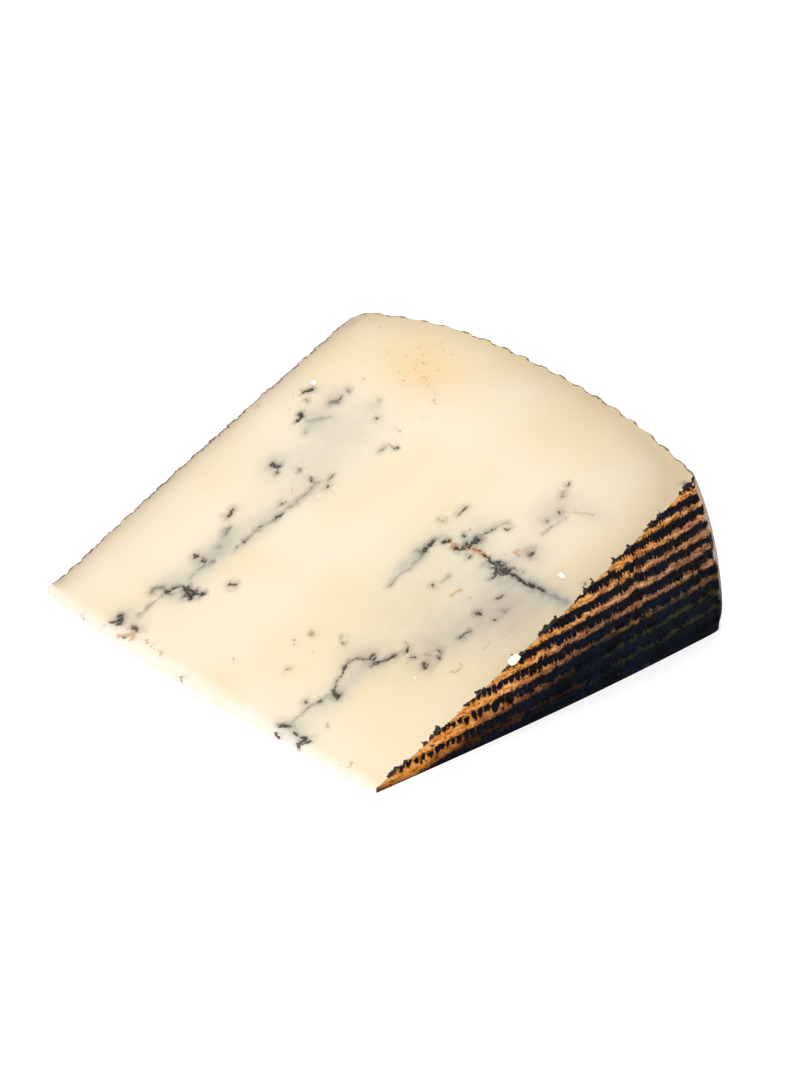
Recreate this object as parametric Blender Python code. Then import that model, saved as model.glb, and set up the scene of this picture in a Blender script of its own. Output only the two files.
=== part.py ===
"""Wedge of a small sheep's milk blue cheese, cut from a wheel and lying on one of its two cut faces.

Units are metres and +Z is up. X runs along the axis of the wheel, towards the flat face that carries
the striped rind. Y runs from the blunt tip, once the centre of the wheel, out to the side of the
wheel. The origin is the middle of the underside.
"""

import math

import bmesh
import bpy
from mathutils import Vector

MM = 0.001

# The wheel that the wedge comes from. Along the axis, 0 is its striped flat face at the centre.
WHEEL_HEIGHT = 100 * MM
WHEEL_RADIUS = 93.7 * MM
FLAT_RADIUS = 87.5 * MM
WIDEST_AT = -52 * MM

# How the side of the wheel falls in towards each flat face: how much, over what length, how suddenly
BACK_FALL, BACK_LENGTH, BACK_POWER = 7.7 * MM, 47 * MM, 2.7
FRONT_FALL, FRONT_LENGTH, FRONT_POWER = 5.9 * MM, 51 * MM, 2.4
BACK_CORNER_RADIUS = 4 * MM
FRONT_CORNER_RADIUS = 2 * MM

# The flat faces: the back one falls away towards its rim, the striped one swells between centre and rim
BACK_DISHING = 2.9 * MM
FRONT_SWELL = 1.5 * MM
FRONT_SWELL_SPAN = 105 * MM

# The wedge
WEDGE_ANGLE = math.radians(24.18)
TIP_HANG = 2.5 * MM          # how far the blunt tip stands out past the axis, half way along
TIP_SKEW = 0.85              # under 1, it stands out furthest a little behind the middle
TIP_FULLNESS = 0.8           # under 1, it rises more suddenly from the two ends
TIP_RISE = 1.0 * MM          # how much the upper cut face lifts as it reaches the tip
TIP_BLEND = 5 * MM
TIP_FACET = 1.5 * MM         # where the upper cut face starts
TIP_LIP = (0.3 * MM, 0.255 * MM)
FOOT_ROUND = 1.5 * MM        # worn edge of the rind along the board
FOOT_BEVEL = 0.45 * MM

# The mould hollow on the tip
HOLLOW_AT = -24 * MM
HOLLOW_WIDTH = 3.5 * MM
HOLLOW_REACH = 3.0 * MM
HOLLOW_DEPTH = 0.8 * MM

# The print of the reed mat on the two flat faces, and of the hoop on the side
MAT_PITCH = 3.55 * MM
MAT_DEPTH = 0.45 * MM
MAT_FRONT_SLOPE = math.radians(3.2)
MAT_FRONT_START = 0.25 * MM
MAT_BACK_SLOPE = math.radians(-21)
MAT_BACK_START = 1.2 * MM
MAT_BORDER = 2.8 * MM        # smooth rim outside the print
MAT_FADE = 1.5 * MM          # over which the print dies out towards it
HOOP_PITCH = 5.6 * MM
HOOP_DEPTH = 0.35 * MM

# Where a groove lies within one pitch, as shares of the pitch: ridge edge, foot, foot, ridge edge
GROOVE_PROFILE = [(0.18, 0.0), (0.31, 1.0), (0.73, 1.0), (0.86, 0.0)]

# How finely the plain wedge is marked out before it is shaped
ARC_STEPS = 12
CROSS_SPACING = 9 * MM
CUT_FACE_ROWS = [3 * MM, 6 * MM, 11 * MM, 19 * MM, 28 * MM, 38 * MM, 48 * MM, 58 * MM, 68 * MM, 78 * MM]
RIM_RINGS = [4.5 * MM, 2 * MM]
END_STRIP = 1.5 * MM         # kept clear of hoop lines, so that they miss the mat's print
SNAP = 0.12 * MM
SLIVER = 0.012 * MM

# The upper cut face isn't quite flat, because the blade wandered: height, wavelengths, phases
WANDER = 0.25 * MM
WANDER_ALONG, WANDER_OUT = 90 * MM, 114 * MM
WANDER_ALONG_PHASE, WANDER_OUT_PHASE = 2.0, 0.7
WANDER_START = 20 * MM       # it grows to its full height over this distance from the tip

FRONT, BACK, SIDE, TOP, BOTTOM, TIP = range(6)


def smooth_step(low, high, value):
    """0 below low, 1 above high, and a smooth rise between."""
    t = min(1.0, max(0.0, (value - low) / (high - low)))
    return t * t * (3 - 2 * t)


def groove_depth(share):
    """Depth of the printed groove at a share of one pitch, from 0 on the ridge to 1 in the groove."""
    share = share % 1.0
    for (start, low), (end, high) in zip(GROOVE_PROFILE, GROOVE_PROFILE[1:]):
        if start <= share <= end:
            return low + (high - low) * (share - start) / (end - start)
    return 0.0


def side_radius(x):
    """Radius of the wheel's barrel side at a place along the axis."""
    if x < WIDEST_AT:
        return WHEEL_RADIUS - BACK_FALL * ((WIDEST_AT - x) / BACK_LENGTH) ** BACK_POWER
    return WHEEL_RADIUS - FRONT_FALL * ((x - WIDEST_AT) / FRONT_LENGTH) ** FRONT_POWER


def back_face(r):
    """Place along the axis of the back flat face at a radius."""
    return -WHEEL_HEIGHT + BACK_DISHING * (r / FLAT_RADIUS) ** 2


def front_face(r):
    """Place along the axis of the striped flat face at a radius."""
    return FRONT_SWELL * math.sin(math.pi * r / FRONT_SWELL_SPAN)


def ease_corner(x, r, face_x, side_r, radius, inward):
    """Rounds the corner between a flat face and the side. inward is +1 for the back, -1 for the front."""
    centre_x = face_x + inward * radius
    centre_r = side_r - radius
    out_x = (centre_x - x) * inward
    out_r = r - centre_r
    if out_x <= 0 or out_r <= 0:
        return x, r
    shrink = max(out_x, out_r) / math.hypot(out_x, out_r)
    return centre_x - inward * out_x * shrink, centre_r + out_r * shrink


def tip_line(x):
    """How far the blunt tip stands out past the axis at a place along it."""
    share = min(1.0, max(0.0, -x / WHEEL_HEIGHT))
    return -TIP_HANG * math.sin(math.pi * (1 - share) ** TIP_SKEW) ** TIP_FULLNESS


def mat_print(y, z, slope, start):
    """Depth of the mat's print at a place on a flat face."""
    across = z * math.cos(slope) - y * math.sin(slope)
    edge = FLAT_RADIUS - MAT_BORDER
    inside = smooth_step(edge + MAT_FADE, edge, math.hypot(y, z))
    return MAT_DEPTH * groove_depth((across - start) / MAT_PITCH) * inside


def on_arc(radius, angle):
    """Point on an arc about the axis."""
    return radius * Vector((math.cos(angle), math.sin(angle)))


def outline():
    """Outline of the plain wedge seen along the axis: along the board, up the rind, down to the tip."""
    board = [Vector((0, 0))] + [Vector((FLAT_RADIUS - ring, 0)) for ring in RIM_RINGS]
    foot_angle = math.asin(FOOT_ROUND / FLAT_RADIUS)
    rind = [Vector((FLAT_RADIUS - FOOT_ROUND, 0)), Vector((FLAT_RADIUS - FOOT_BEVEL, FOOT_BEVEL))]
    for step in range(ARC_STEPS + 1):
        rind.append(on_arc(FLAT_RADIUS, foot_angle + (WEDGE_ANGLE - foot_angle) * step / ARC_STEPS))
    cut = [on_arc(FLAT_RADIUS - ring, WEDGE_ANGLE) for ring in reversed(RIM_RINGS)]
    cut.append(TIP_FACET * Vector((1, math.tan(WEDGE_ANGLE))))
    cut.append(Vector(TIP_LIP))
    return board, rind, cut


def flat_face(bm, region, kind, x, board, rind, cut):
    """One flat face of the prism: rings of quads along the rim, and one face for all inside them."""
    rings = [rind]
    for depth, ring in enumerate(reversed(RIM_RINGS)):
        inner = []
        for vert in rind[1:-1]:
            place = on_arc(FLAT_RADIUS - ring, math.atan2(vert.co.z, vert.co.y))
            inner.append(bm.verts.new((x, *place)))
        rings.append([board[-1 - depth]] + inner + [cut[depth]])
    for outer, inner in zip(rings, rings[1:]):
        for (a, b), (c, d) in zip(zip(outer, outer[1:]), zip(inner, inner[1:])):
            bm.faces.new((a, b, d, c))[region] = kind
    bm.faces.new([board[0]] + rings[-1] + cut[len(RIM_RINGS):])[region] = kind


def plain_wedge(bm, region):
    """The wedge as a straight prism, with each face marked by the part of the cheese that it is."""
    board, rind, cut = outline()
    ends = []
    for kind, x in ((BACK, -WHEEL_HEIGHT), (FRONT, 0.0)):
        runs = [[bm.verts.new((x, p.x, p.y)) for p in run] for run in (board, rind, cut)]
        flat_face(bm, region, kind, x, *runs)
        ends.append(sum(runs, []))
    kinds = [BOTTOM] * len(board) + [SIDE] * (len(rind) - 1) + [TOP] * (len(cut) - 1) + [TIP] * 2
    back, front = ends
    for i, kind in enumerate(kinds):
        j = (i + 1) % len(kinds)
        bm.faces.new((front[i], back[i], back[j], front[j]))[region] = kind
    bmesh.ops.recalc_face_normals(bm, faces=bm.faces)


def mark(bm, region, kinds, normal, offsets):
    """Cuts edges into the faces of some kinds along parallel planes, which leaves the body closed."""
    for offset in offsets:
        faces = [f for f in bm.faces if f[region] in kinds]
        edges = list({e for f in faces for e in f.edges})
        corners = list({v for f in faces for v in f.verts})
        bmesh.ops.bisect_plane(
            bm,
            geom=faces + edges + corners,
            dist=SNAP,
            plane_co=normal * offset,
            plane_no=normal,
        )


def steps(start, end, spacing):
    """Places at even spacing strictly between two ends."""
    count = max(1, round((end - start) / spacing))
    return [start + (end - start) * i / count for i in range(1, count)]


def groove_lines(start, pitch, low, high):
    """Every place between two limits where the groove profile turns."""
    lines = []
    for repeat in range(math.floor((low - start) / pitch) - 1, math.ceil((high - start) / pitch) + 1):
        for share, _ in GROOVE_PROFILE:
            place = start + (repeat + share) * pitch
            if low + SNAP < place < high - SNAP:
                lines.append(place)
    return lines


def mark_out(bm, region):
    """Marks the lines along which the wedge is then shaped."""
    prints = ((FRONT, MAT_FRONT_SLOPE, MAT_FRONT_START), (BACK, MAT_BACK_SLOPE, MAT_BACK_START))
    for kind, slope, start in prints:
        across = Vector((0, -math.sin(slope), math.cos(slope)))
        along = Vector((0, math.cos(slope), math.sin(slope)))
        reach = FLAT_RADIUS * math.sin(WEDGE_ANGLE - slope)
        low = min(0.0, -FLAT_RADIUS * math.sin(slope))
        mark(bm, region, {kind}, across, groove_lines(start, MAT_PITCH, low, reach))
        mark(bm, region, {kind}, along, steps(0.0, FLAT_RADIUS, CROSS_SPACING))
    hoop = groove_lines(0.0, HOOP_PITCH, END_STRIP - WHEEL_HEIGHT, -END_STRIP)
    mark(bm, region, {SIDE, TOP, BOTTOM, TIP}, Vector((1, 0, 0)), hoop)
    up_the_cut = Vector((0, math.cos(WEDGE_ANGLE), math.sin(WEDGE_ANGLE)))
    mark(bm, region, {TOP}, up_the_cut, CUT_FACE_ROWS)


def wander(x, r):
    """How far the upper cut face stands above a flat one at a place along the axis and out from it."""
    along = math.sin(math.tau * x / WANDER_ALONG + WANDER_ALONG_PHASE)
    out = math.sin(math.tau * r / WANDER_OUT + WANDER_OUT_PHASE)
    return WANDER * along * out * smooth_step(0.0, WANDER_START, r)


def shape_point(co, relief):
    """Moves a point of the straight prism to its place on the real wedge. relief is its printed depth."""
    r = math.hypot(co.y, co.z)
    angle = math.atan2(co.z, co.y)
    share = -co.x / WHEEL_HEIGHT
    side_r = side_radius(co.x)
    r *= side_r / FLAT_RADIUS
    x = front_face(r) * (1 - share) + back_face(r) * share
    x, r = ease_corner(x, r, back_face(r), side_radius(-WHEEL_HEIGHT), BACK_CORNER_RADIUS, 1)
    x, r = ease_corner(x, r, front_face(r), side_radius(0.0), FRONT_CORNER_RADIUS, -1)
    x += relief.x
    r += relief.y
    near_tip = math.exp(-r / TIP_BLEND)
    height_share = min(1.0, max(0.0, angle / WEDGE_ANGLE))
    y = r * math.cos(angle) + tip_line(co.x) * near_tip
    z = r * math.sin(angle) + TIP_RISE * near_tip * height_share
    z += wander(x, r) * height_share
    hollow = math.exp(-((x - HOLLOW_AT) / HOLLOW_WIDTH) ** 2 - (r / HOLLOW_REACH) ** 2)
    y += HOLLOW_DEPTH * hollow
    return Vector((x, y, z))


def shape(bm, region):
    """Shapes the marked prism: barrel side, swollen flat faces, rounded corners, print and blunt tip."""
    reliefs = {}
    for vert in bm.verts:
        kinds = {f[region] for f in vert.link_faces}
        relief = Vector((0.0, 0.0))
        if FRONT in kinds:
            relief.x -= mat_print(vert.co.y, vert.co.z, MAT_FRONT_SLOPE, MAT_FRONT_START)
        if BACK in kinds:
            relief.x += mat_print(vert.co.y, vert.co.z, MAT_BACK_SLOPE, MAT_BACK_START)
        if SIDE in kinds and not kinds & {FRONT, BACK}:
            relief.y -= HOOP_DEPTH * groove_depth(vert.co.x / HOOP_PITCH)
        reliefs[vert] = relief
    for vert, relief in reliefs.items():
        vert.co = shape_point(vert.co, relief)


def centre_on_origin(bm):
    """Puts the middle of the underside at the origin."""
    low = Vector(min(v.co[axis] for v in bm.verts) for axis in range(3))
    high = Vector(max(v.co[axis] for v in bm.verts) for axis in range(3))
    middle = (low + high) / 2
    bmesh.ops.translate(bm, verts=bm.verts, vec=(-middle.x, -middle.y, -low.z))


def paste_material():
    """Ivory paste with a soft, slightly moist surface."""
    material = bpy.data.materials.new("cheese_paste")
    material.use_nodes = True
    shader = material.node_tree.nodes["Principled BSDF"]
    shader.inputs["Base Color"].default_value = (0.86, 0.74, 0.53, 1)
    shader.inputs["Roughness"].default_value = 0.45
    shader.inputs["Metallic"].default_value = 0.0
    return material


def cheese_wedge():
    """The whole wedge, rind and paste in one piece."""
    bm = bmesh.new()
    region = bm.faces.layers.int.new("region")
    plain_wedge(bm, region)
    mark_out(bm, region)
    shape(bm, region)
    bmesh.ops.triangulate(bm, faces=bm.faces, quad_method="BEAUTY", ngon_method="BEAUTY")
    bmesh.ops.dissolve_degenerate(bm, dist=SLIVER, edges=bm.edges)
    bmesh.ops.triangulate(bm, faces=bm.faces)
    bmesh.ops.recalc_face_normals(bm, faces=bm.faces)
    centre_on_origin(bm)
    mesh = bpy.data.meshes.new("cheese_wedge")
    bm.to_mesh(mesh)
    bm.free()
    wedge = bpy.data.objects.new("cheese_wedge", mesh)
    bpy.context.scene.collection.objects.link(wedge)
    mesh.materials.append(paste_material())
    return wedge


for thing in list(bpy.data.objects):
    bpy.data.objects.remove(thing)
cheese_wedge()
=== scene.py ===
"""Looks of a wedge of small sheep's milk blue cheese, lying on one of its cut faces.

X runs along the axis of the wheel, towards the striped flat face, and Y from the blunt tip out to the
wheel's side. Sizes here are in millimetres in the wheel's own frame: x is 0 on the striped face and -100 at
the back, r is the distance from the axis. They become metres where the mesh is made.
"""

import math

import bmesh
import bpy
import numpy as np
from mathutils import Matrix, Vector
from mathutils.geometry import delaunay_2d_cdt


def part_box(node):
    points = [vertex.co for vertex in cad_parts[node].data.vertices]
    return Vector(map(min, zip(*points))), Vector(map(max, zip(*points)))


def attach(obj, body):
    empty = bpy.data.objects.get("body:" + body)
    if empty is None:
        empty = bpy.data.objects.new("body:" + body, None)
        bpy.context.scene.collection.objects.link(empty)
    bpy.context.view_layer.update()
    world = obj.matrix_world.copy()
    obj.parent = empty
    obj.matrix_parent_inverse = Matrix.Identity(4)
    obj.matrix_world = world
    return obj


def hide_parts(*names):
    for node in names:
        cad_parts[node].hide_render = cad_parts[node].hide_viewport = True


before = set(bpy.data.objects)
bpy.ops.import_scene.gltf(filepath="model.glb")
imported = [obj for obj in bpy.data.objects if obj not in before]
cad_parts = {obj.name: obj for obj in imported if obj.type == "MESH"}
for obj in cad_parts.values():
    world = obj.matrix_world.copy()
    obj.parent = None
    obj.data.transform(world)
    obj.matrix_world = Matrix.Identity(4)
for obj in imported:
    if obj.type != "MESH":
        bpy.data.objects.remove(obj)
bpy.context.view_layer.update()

# The wheel that the wedge was cut from: a drained and salted wheel of sheep's milk curd, 100 mm high and
# 187 mm across, with a barrel side. It was turned on reed mats, which printed both flat faces, and stood in
# a hoop, which printed the side.
WHEEL_HEIGHT = 100.0
WHEEL_RADIUS = 93.7
FLAT_RADIUS = 87.5
WIDEST_AT = -52.0
BACK_FALL, BACK_LENGTH, BACK_POWER = 7.7, 47.0, 2.7
FRONT_FALL, FRONT_LENGTH, FRONT_POWER = 5.9, 51.0, 2.4
BACK_CORNER_RADIUS = 4.0
FRONT_CORNER_RADIUS = 2.0
BACK_DISHING = 2.9
FRONT_SWELL = 1.5
FRONT_SWELL_SPAN = 105.0


def side_radius(x):
    """Radius of the wheel's barrel side at a place along the axis."""
    behind = np.maximum(WIDEST_AT - x, 0) / BACK_LENGTH
    before = np.maximum(x - WIDEST_AT, 0) / FRONT_LENGTH
    return WHEEL_RADIUS - BACK_FALL * behind ** BACK_POWER - FRONT_FALL * before ** FRONT_POWER


def back_face(r):
    """Place along the axis of the back flat face at a radius."""
    return -WHEEL_HEIGHT + BACK_DISHING * (r / FLAT_RADIUS) ** 2


def front_face(r):
    """Place along the axis of the striped flat face at a radius."""
    return FRONT_SWELL * np.sin(math.pi * r / FRONT_SWELL_SPAN)


def ease_corner(x, r, face_x, side_r, radius, inward):
    """Rounds the corner between a flat face and the side. inward is +1 for the back, -1 for the front."""
    centre_x = face_x + inward * radius
    centre_r = side_r - radius
    out_x = (centre_x - x) * inward
    out_r = r - centre_r
    inside = (out_x > 0) & (out_r > 0)
    shrink = np.where(inside, np.maximum(out_x, out_r) / np.maximum(np.hypot(out_x, out_r), 1e-9), 1)
    return (
        np.where(inside, centre_x - inward * out_x * shrink, x),
        np.where(inside, centre_r + out_r * shrink, r),
    )


# The wedge: about a fifteenth of the wheel, cut with a thin wire. Its blunt tip was the centre of the
# wheel, where the wire broke through and left a soft rounded strip. Paste and rind are one piece.
WEDGE_ANGLE = math.radians(24.18)
TIP_HANG = 2.5
TIP_SKEW = 0.85
TIP_FULLNESS = 0.8
TIP_RISE = 1.0
TIP_BLEND = 5.0
HOLLOW_AT = -24.0
HOLLOW_WIDTH = 3.5
HOLLOW_REACH = 3.0
HOLLOW_DEPTH = 0.8
WANDER = 0.25
WANDER_ALONG, WANDER_OUT = 90.0, 114.0
WANDER_ALONG_PHASE, WANDER_OUT_PHASE = 2.0, 0.7
WANDER_START = 20.0


def smooth_step(low, high, value):
    """0 below low, 1 above high, and a smooth rise between."""
    t = np.clip((value - low) / (high - low), 0, 1)
    return t * t * (3 - 2 * t)


def tip_line(x):
    """How far the blunt tip stands out past the axis at a place along it."""
    share = np.clip(-x / WHEEL_HEIGHT, 0, 1)
    return -TIP_HANG * np.maximum(np.sin(math.pi * (1 - share) ** TIP_SKEW), 0) ** TIP_FULLNESS


def wedge_form(x, y, z, sink_x, sink_r):
    """Places of points given on a straight prism, once it has the wheel's barrel side and blunt tip."""
    r = np.hypot(y, z)
    angle = np.arctan2(z, y)
    share = -x / WHEEL_HEIGHT
    r = r * side_radius(x) / FLAT_RADIUS
    at = front_face(r) * (1 - share) + back_face(r) * share
    at, r = ease_corner(at, r, back_face(r), side_radius(-WHEEL_HEIGHT), BACK_CORNER_RADIUS, 1)
    at, r = ease_corner(at, r, front_face(r), side_radius(0.0), FRONT_CORNER_RADIUS, -1)
    at = at + sink_x
    r = r + sink_r
    near_tip = np.exp(-r / TIP_BLEND)
    height_share = np.clip(angle / WEDGE_ANGLE, 0, 1)
    out = r * np.cos(angle) + tip_line(x) * near_tip
    up = r * np.sin(angle) + TIP_RISE * near_tip * height_share
    wave = np.sin(math.tau * at / WANDER_ALONG + WANDER_ALONG_PHASE)
    wave = wave * np.sin(math.tau * r / WANDER_OUT + WANDER_OUT_PHASE)
    up = up + WANDER * wave * height_share * smooth_step(0, WANDER_START, r)
    out = out + HOLLOW_DEPTH * np.exp(-((at - HOLLOW_AT) / HOLLOW_WIDTH) ** 2 - (r / HOLLOW_REACH) ** 2)
    return np.stack([at, out, up], -1)


# The mould in the paste: blue-green mould grew along the needle holes and the cracks between the curds, and
# left dark olive grains, brown stains and grey-green haze in the ivory paste. Each vein has half its width,
# then x and r of each point that it runs through on the upper cut face.
VEINS = {
    "dark": [
        (0.6, -74, 15.4, -71.9, 14.9, -70.4, 15.5, -69, 16.2), (0.75, -72.8, 15.9, -72, 15.2, -71.6, 14.2),
        (0.5, -71.2, 16.4, -71.6, 15, -70.6, 14.2), (0.35, -74.5, 15, -75.7, 14.2, -76, 13),
        (0.5, -76, 13.2, -76.1, 12.8), (0.7, -79.5, 3.5, -78.6, 2.5, -77.8, 1.5),
        (0.3, -74.2, -0.4, -73.4, -0.4), (0.45, -71.3, 30, -71.2, 29.8), (0.4, -71.7, 27.9, -71.6, 27.8),
        (0.4, -73.5, 23, -73.4, 23.1), (0.35, -90.5, 64.3, -89.9, 65.2, -89.2, 66),
        (0.8, -86.9, 60, -85.5, 59.7), (0.5, -86, 59.6, -85.6, 58.3),
        (0.7, -81.8, 47.4, -80.9, 47.3, -79.8, 47.9), (0.3, -79.8, 47.6, -79, 46.3),
        (0.25, -75.6, 49.1, -74.8, 48.7), (0.35, -71.7, 48.9, -70.8, 48.5), (0.45, -69.6, 39.2, -69.8, 37.6),
        (0.35, -71.1, 35, -71.4, 34.2), (0.35, -71.6, 41.1, -71.5, 40.9), (0.3, -61.5, 62.9, -60.4, 62.9),
        (0.3, -82.1, 67.6, -81.9, 66.4), (0.35, -14.4, 30.7, -13.6, 30.4), (0.35, -13.2, 29.3, -13, 29.1),
        (0.3, -14.3, 26.6, -14, 26.6), (0.4, -20.7, 28, -20.4, 27.6), (0.65, -21.8, 24.7, -22.1, 23.9),
        (0.4, -22.1, 23.9, -22.9, 23, -23.3, 22, -23.7, 21.2), (0.4, -24.5, 22.7, -24.3, 22.5),
        (0.33, -25.5, 22, -26.5, 21.5, -27.5, 20.9, -28.3, 19.7, -28.4, 18.5, -28.2, 17.6),
        (0.3, -28.2, 17.6, -27.5, 16.4, -27.3, 15.3, -26.6, 14, -26, 13),
        (0.65, -25.9, 12.9, -25, 12.5, -24.2, 12.4), (0.35, -26.4, 9.8, -26.6, 9.2),
        (0.75, -28.2, 0.9, -27.3, 1.6, -26.6, 2.2), (0.6, -27, -0.6, -26.4, -0.8),
        (0.75, -22.3, 1.3, -20.8, 1.3), (0.9, -21.3, 0.6, -21.2, -0.4), (0.3, -21, 1.3, -20, 1.3),
        (0.28, -40.9, 20.7, -40.7, 20.7), (0.22, -34.7, 23.2, -34.5, 23), (0.22, -33.1, 22.2, -32.9, 22.1),
        (0.45, -35.8, 50, -35.5, 48.3, -35.7, 46.8), (0.6, -36, 48.6, -35.7, 47),
        (0.7, -28.2, 54.7, -27.6, 54, -28.3, 53.3), (0.55, -29.3, 52.8, -27.7, 52.3),
        (0.33, -28.2, 55.4, -27.6, 56.6, -26.5, 58), (0.25, -31.3, 53.6, -30.7, 53.4),
        (0.5, -33.6, 50.7, -32.6, 51.3), (0.65, -30.2, 50.5, -29.2, 51, -28.4, 51.6),
        (0.45, -24, 52.2, -22, 51.8, -20, 51.6), (0.8, -19.8, 52, -18.4, 51.9, -16.4, 52),
        (0.7, -19.5, 50.9, -18.4, 50.6), (0.8, -18.4, 51.3, -17, 50.9, -16.2, 51.2),
        (0.55, -16.6, 51.6, -15, 51.5, -14, 51.5), (0.42, -14, 51.5, -12.5, 51.2, -11, 51.3, -9.5, 51.4),
        (0.5, -9.5, 51.4, -7.5, 51.7, -6.2, 51.8), (0.4, -26.3, 50.5, -26.1, 50.5),
        (0.35, -17.8, 50, -18.3, 48.6), (0.3, -20.1, 52.9, -19.9, 52.9), (0.35, -16, 52.8, -14.8, 52.7),
        (0.25, -13.6, 52.8, -13.4, 52.8), (0.55, -15.7, 57.1, -15.3, 56.9), (0.45, -14.3, 41.2, -13.3, 41.4),
        (0.35, -12.2, 36.9, -12.7, 35.1), (0.25, -80, -0.4, -79.7, -0.5), (0.3, -86.2, -1.2, -85.8, -1.2),
        (0.45, -54.8, -1.4, -54.2, -1.6), (0.4, 0.4, 85.4, -0.6, 85),
    ],
    "ash": [
        (0.5, -76, 13, -77.5, 13.3, -79, 12, -78.7, 11), (0.3, -75.9, 12.7, -74.2, 12.8),
        (0.7, -76.9, 30.3, -76.3, 29.7), (0.4, -62.9, 62, -63.1, 61), (0.4, -16, 28.5, -15, 28.7),
        (0.45, -37, 46.3, -35.8, 46.4, -35, 46), (0.7, -18.6, 51.3, -17.2, 50.9, -15.5, 51.4),
        (0.45, -10.4, 44, -9.6, 44.1), (0.35, -20.8, 71.4, -20.5, 70.6), (0.3, -18.5, 64.7, -18.1, 64.7),
        (0.7, -82.6, 65.2, -81.6, 65.9), (0.45, -82.2, 69.5, -81.6, 69.1), (0.3, -74, 70.7, -73.6, 70.3),
    ],
    "line": [
        (0.3, -76.3, 12, -76.3, 10, -76.4, 5.5), (0.3, -74.3, 18, -74.3, 22), (0.25, -83, 59.5, -80, 62.5),
        (0.4, -70.8, 48.5, -69.6, 48.2, -68.7, 48.5), (0.35, -69.2, 48, -69, 45, -69.2, 41.8, -69.6, 40),
        (0.4, -69.8, 37.6, -70.5, 36, -71.2, 33, -71.3, 30),
        (0.3, -21.7, 28.6, -20.5, 27.8, -20.8, 27, -21.3, 25.7, -21.9, 24.3),
        (0.35, -26, 11.5, -26.5, 9.4, -27, 8, -27.3, 6.5, -27, 5, -26.9, 3),
        (0.33, -35, 46, -34.8, 45, -34.9, 43.5, -35, 42, -35.7, 40, -35.5, 37),
        (0.3, -26.5, 58, -26.7, 59, -26, 60, -25.3, 60.8), (0.55, -6.2, 51.8, -3, 51.8, 0, 51.9),
        (0.3, -15.5, 57, -14.5, 56), (0.35, -38.8, 54.4, -37.6, 54.4), (0.22, -26.3, 43, -26, 45),
        (0.2, -16, 67, -17, 62),
    ],
    "brown": [
        (0.8, -79.5, 1.3, -78.5, 1.6), (0.8, -74.5, 2.7, -73.4, 2.5), (0.3, -75.4, 26.3, -75.2, 26.3),
        (0.7, -77.9, 22.5, -77.4, 22.1), (0.7, -75.6, 22.4, -74.9, 22.6), (0.45, -65.6, 21, -64.4, 21.2),
        (0.35, -88.2, 63, -87.8, 63), (0.4, -67.6, 51.3, -67.3, 50), (0.35, -66.4, 49, -66, 49),
        (0.65, -79.8, 34.3, -79.6, 33), (0.35, -70.4, 66.8, -70.2, 66.8), (0.7, -14.6, 26.7, -13.3, 26.5),
        (0.35, -17.8, 26.8, -17.2, 26.8), (0.5, -25.5, 22.2, -25.5, 23.2), (0.5, -28.9, 8.1, -28.6, 7.9),
        (0.3, -25, 1.7, -23, 0.8), (0.3, -24.6, 59.3, -24, 59.4),
        (0.28, -27.6, 52.1, -25.6, 52.4, -24.2, 52), (0.3, -22.3, 50.5, -22.1, 50.5),
        (0.3, -16.8, 57, -16.6, 57), (0.25, -16.4, 58.6, -16.2, 58.6),
        (0.4, -36, 57.2, -35.8, 58.2, -36, 59), (0.35, -27.9, 41.6, -27.1, 41.4),
        (0.28, -12.7, 47, -13.3, 45.5), (0.4, -10.1, 41.7, -9.4, 42), (0.35, -21.7, 73.7, -21.3, 73.2),
        (0.35, -17.9, 67.5, -17.5, 67.1), (0.3, -81.8, 56.9, -81.5, 56.7), (0.22, -38.4, 11.9, -38.1, 11.9),
        (0.25, -0.5, 57.2, -0.2, 56.8),
    ],
    "rust": [
        (0.9, -75, -0.6, -73.2, 1, -72.2, 0.5),
        (0.35, -69.5, 1.8, -67.5, 1.3, -66, 1.2, -64, 1.3, -63.5, 0.5), (0.6, -62.9, 63.2, -61.6, 63.3),
        (0.3, -96.8, 57.4, -96.2, 56.6), (0.3, -81.3, 73, -81.1, 73), (0.3, -17.8, 25.2, -17.5, 25.2),
        (0.25, -7.8, 30.4, -6.8, 29.7, -7.2, 28.7, -8.5, 28),
        (0.28, -10.5, 0.4, -9.8, 0.5, -8.8, 1, -8.5, 1.6, -9, 2.1), (0.55, -40.8, 21, -40.2, 20.5),
        (0.3, -42.9, 17.7, -42.6, 17.6), (0.3, -42, 17, -41.7, 17),
        (0.7, -32.5, 51.3, -31.5, 50.8, -30, 50.5), (0.9, -28.4, 51.8, -27, 52.5, -25.5, 52.2, -23.5, 52),
        (0.75, -26.4, 52.4, -24.6, 52.1), (0.3, -17.8, 36.8, -17.4, 36.8), (0.28, -6.6, 37.1, -6.4, 35.5),
        (0.25, -11.5, 70.5, -13, 70, -15, 69, -17.8, 68), (0.3, -92, 62.3, -91.6, 62),
        (0.3, -63.8, 66.5, -63.2, 66.4), (0.25, -64.7, 48.7, -64.2, 48.5),
        (0.2, -74, 46.5, -73.2, 45, -72, 44), (0.25, -37.4, 17.5, -37, 17.3), (0.4, -20.4, 6.2, -19.6, 5.7),
        (0.3, -50.4, 8.1, -49.9, 8), (0.25, -49.4, 7.1, -49.1, 7), (0.4, -31.2, 55.4, -30.7, 55),
        (0.7, -18.6, 56, -17.6, 55.6), (0.3, -18.3, 43.4, -18.1, 42.9), (0.5, -22, 41.5, -21.5, 43.5),
    ],
}

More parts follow.
